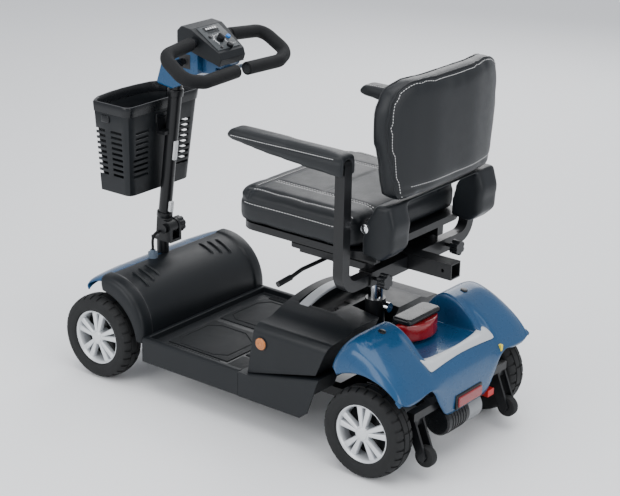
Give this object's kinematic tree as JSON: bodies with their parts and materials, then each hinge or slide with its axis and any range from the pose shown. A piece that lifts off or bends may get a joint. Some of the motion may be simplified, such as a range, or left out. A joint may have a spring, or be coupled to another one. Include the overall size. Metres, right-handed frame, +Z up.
{
  "type": "mobility scooter",
  "caption": "Four-wheel travel scooter with a folding tiller, open-loop handlebar, front basket, lift-out battery box and a swivelling armchair seat.",
  "frame": {"origin": "on the ground under the middle of the whole scooter's box", "axes": "+Y towards the rear, front of the scooter at -Y, +X the rider's left, +Z up"},
  "size_m": [0.524, 1.0575, 0.866],
  "materials": {
    "blue_paint": "metallic gloss",
    "black_paint": "satin",
    "black_plastic": "fine grain",
    "silver_plastic": "satin metallic",
    "wheel_silver": "satin",
    "tyre_black": "matte",
    "vinyl": "grained",
    "foam": "matte",
    "chrome": "polished",
    "steel": "brushed",
    "cast_grey": "cast",
    "red_lens": "clear red",
    "amber_lens": "clear amber",
    "clear_lens": "clear",
    "red_plastic": "smooth",
    "control_grey": "smooth"
  },
  "bodies": {
    "chassis": {"front_frame": "black_paint", "rear_frame": "black_paint", "floor_deck": "black_plastic", "side_skirts": "black_plastic", "front_cowl": "black_plastic", "front_fender": "blue_paint", "rear_shroud": "blue_paint", "rear_trim_strip": "silver_plastic", "tail_lamp_housing": "black_plastic", "tail_lamp_lens": "red_lens", "rear_reflector": "red_lens", "transaxle": "cast_grey", "drive_motor": "black_paint", "anti_tip_arms": "black_paint", "cable_plug": "control_grey"},
    "steering": {"steering_stem": "black_paint", "tiller_cable": "foam"},
    "tiller": {"tiller_tube": "black_paint", "console_base": "blue_paint", "console_cover": "black_plastic", "headlight_lens": "clear_lens", "handlebar": "black_paint", "handlebar_grips": "foam"},
    "hinge_knob": {"tiller_knob": "black_plastic"},
    "basket_unit": {"basket": "black_plastic"},
    "throttle": {"throttle_paddle": "control_grey"},
    "speed_knob": {"speed_dial": "black_plastic"},
    "key": {"ignition_key": "steel"},
    "horn": {"horn_button": "control_grey"},
    "knuckle_left": {"front_knuckle_left": "black_paint"},
    "knuckle_right": {"front_knuckle_right": "black_paint"},
    "track_rod": {"tie_rod": "steel"},
    "front_wheel_left": {"front_rim_left": "wheel_silver", "front_tyre_left": "tyre_black"},
    "front_wheel_right": {"front_rim_right": "wheel_silver", "front_tyre_right": "tyre_black"},
    "rear_wheel_left": {"rear_rim_left": "wheel_silver", "rear_tyre_left": "tyre_black"},
    "rear_wheel_right": {"rear_rim_right": "wheel_silver", "rear_tyre_right": "tyre_black"},
    "tip_wheel_left": {"anti_tip_wheel_left": "black_plastic"},
    "tip_wheel_right": {"anti_tip_wheel_right": "black_plastic"},
    "freewheel": {"freewheel_lever": "red_plastic"},
    "battery_pack": {"battery_case": "black_plastic", "battery_handle": "silver_plastic", "battery_cells": "control_grey", "side_reflectors": "amber_lens"},
    "lock_pin": {"post_lock_pin": "steel"},
    "post": {"seat_post": "chrome"},
    "swivel_base": {"seat_base": "black_paint", "clamp_knobs": "black_plastic"},
    "lever": {"swivel_lever": "black_paint"},
    "seat": {"seat_pan": "black_plastic", "seat_cushion": "vinyl"},
    "backrest": {"backrest_frame": "black_plastic", "backrest_cushion": "vinyl"},
    "arm_left": {"armrest_tube_left": "black_paint"},
    "arm_right": {"armrest_tube_right": "black_paint"},
    "pad_left": {"armrest_pad_left": "vinyl"},
    "pad_right": {"armrest_pad_right": "vinyl"}
  },
  "joints": [
    {"name": "steering_turn", "type": "hinge", "parent": "chassis", "child": "steering", "pos_m": [0, -0.399, 0.15], "axis": [0, 0, 1], "range_deg": [-34, 34], "deforming": ["tiller_cable"]},
    {"name": "knuckle_left_turn", "type": "hinge", "parent": "chassis", "child": "knuckle_left", "pos_m": [0.163, -0.399, 0.1], "axis": [0, 0, 1], "range_deg": [-34, 34]},
    {"name": "knuckle_right_turn", "type": "hinge", "parent": "chassis", "child": "knuckle_right", "pos_m": [-0.163, -0.399, 0.1], "axis": [0, 0, 1], "range_deg": [-34, 34]},
    {"name": "track_rod_pivot", "type": "hinge", "parent": "knuckle_left", "child": "track_rod", "pos_m": [0.163, -0.344, 0.083], "axis": [0, 0, 1], "range_deg": [-34, 34]},
    {"name": "front_wheel_left_spin", "type": "hinge", "parent": "knuckle_left", "child": "front_wheel_left", "pos_m": [0.212, -0.399, 0.103], "axis": [1, 0, 0], "continuous": true},
    {"name": "front_wheel_right_spin", "type": "hinge", "parent": "knuckle_right", "child": "front_wheel_right", "pos_m": [-0.212, -0.399, 0.103], "axis": [1, 0, 0], "continuous": true},
    {"name": "rear_wheel_left_spin", "type": "hinge", "parent": "chassis", "child": "rear_wheel_left", "pos_m": [0.222, 0.393, 0.103], "axis": [1, 0, 0], "continuous": true},
    {"name": "rear_wheel_right_spin", "type": "hinge", "parent": "chassis", "child": "rear_wheel_right", "pos_m": [-0.222, 0.393, 0.103], "axis": [1, 0, 0], "continuous": true},
    {"name": "tip_wheel_left_spin", "type": "hinge", "parent": "chassis", "child": "tip_wheel_left", "pos_m": [0.163, 0.505, 0.056], "axis": [1, 0, 0], "continuous": true},
    {"name": "tip_wheel_right_spin", "type": "hinge", "parent": "chassis", "child": "tip_wheel_right", "pos_m": [-0.163, 0.505, 0.056], "axis": [1, 0, 0], "continuous": true},
    {"name": "freewheel_turn", "type": "hinge", "parent": "chassis", "child": "freewheel", "pos_m": [-0.1, 0.431, 0.11], "axis": [-1, 0, 0], "range_deg": [0, 30]},
    {"name": "tiller_fold", "type": "hinge", "parent": "steering", "child": "tiller", "pos_m": [0, -0.374, 0.326], "axis": [1, 0, 0], "range_deg": [-22, 6]},
    {"name": "hinge_knob_turn", "type": "hinge", "parent": "steering", "child": "hinge_knob", "pos_m": [-0.025, -0.374, 0.326], "axis": [1, 0, 0], "continuous": true},
    {"name": "basket_lift", "type": "slide", "parent": "tiller", "child": "basket_unit", "axis": [0, 0, 1], "range_m": [0, 0.06]},
    {"name": "throttle_swing", "type": "hinge", "parent": "tiller", "child": "throttle", "pos_m": [0, -0.188, 0.751], "axis": [0, 0, 1], "range_deg": [-7, 7], "stiffness_Nm_per_rad": 0.4},
    {"name": "speed_knob_turn", "type": "hinge", "parent": "tiller", "child": "speed_knob", "pos_m": [0.004, -0.212, 0.81637], "axis": [0, 0.5178, 0.8555], "range_deg": [0, 270]},
    {"name": "horn_press", "type": "slide", "parent": "tiller", "child": "horn", "axis": [0, -0.5178, -0.8555], "range_m": [0, 0.0003], "stiffness_N_per_m": 400, "springref_m": -0.002},
    {"name": "key_turn", "type": "hinge", "parent": "tiller", "child": "key", "pos_m": [0.05, -0.278, 0.764], "axis": [1, 0, 0], "range_deg": [0, 60]},
    {"name": "battery_lift", "type": "slide", "parent": "chassis", "child": "battery_pack", "axis": [0, 0, 1], "range_m": [0, 0.06]},
    {"name": "lock_pin_pull", "type": "slide", "parent": "chassis", "child": "lock_pin", "axis": [0, 1, 0], "range_m": [0, 0.008], "stiffness_N_per_m": 400, "springref_m": -0.004},
    {"name": "seat_height", "type": "slide", "parent": "chassis", "child": "post", "axis": [0, 0, 1], "range_m": [-0.02, 0.045]},
    {"name": "seat_swivel", "type": "hinge", "parent": "post", "child": "swivel_base", "pos_m": [0, 0.244, 0.38], "axis": [0, 0, 1], "range_deg": [0, 180]},
    {"name": "swivel_lever_lift", "type": "hinge", "parent": "swivel_base", "child": "lever", "pos_m": [0.059, 0.174, 0.406], "axis": [0, -1, 0], "range_deg": [0, 6], "stiffness_Nm_per_rad": 3, "springref_deg": -5.73},
    {"name": "seat_slide", "type": "slide", "parent": "swivel_base", "child": "seat", "axis": [0, 1, 0], "range_m": [-0.04, 0.06]},
    {"name": "backrest_fold", "type": "hinge", "parent": "seat", "child": "backrest", "pos_m": [0, 0.355, 0.545], "axis": [1, 0, 0], "range_deg": [0, 72]},
    {"name": "arm_left_width", "type": "slide", "parent": "swivel_base", "child": "arm_left", "axis": [1, 0, 0], "range_m": [0, 0.045]},
    {"name": "arm_right_width", "type": "slide", "parent": "swivel_base", "child": "arm_right", "axis": [-1, 0, 0], "range_m": [0, 0.045]},
    {"name": "arm_left_flip", "type": "hinge", "parent": "arm_left", "child": "pad_left", "pos_m": [0.237, 0.322, 0.684], "axis": [-1, 0, 0], "range_deg": [0, 95]},
    {"name": "arm_right_flip", "type": "hinge", "parent": "arm_right", "child": "pad_right", "pos_m": [-0.237, 0.322, 0.684], "axis": [-1, 0, 0], "range_deg": [0, 95]}
  ],
  "couplings": [
    {"joint": "knuckle_left_turn", "follows": "steering_turn", "ratio": 1},
    {"joint": "knuckle_right_turn", "follows": "steering_turn", "ratio": 1},
    {"joint": "track_rod_pivot", "follows": "steering_turn", "ratio": -1}
  ]
}
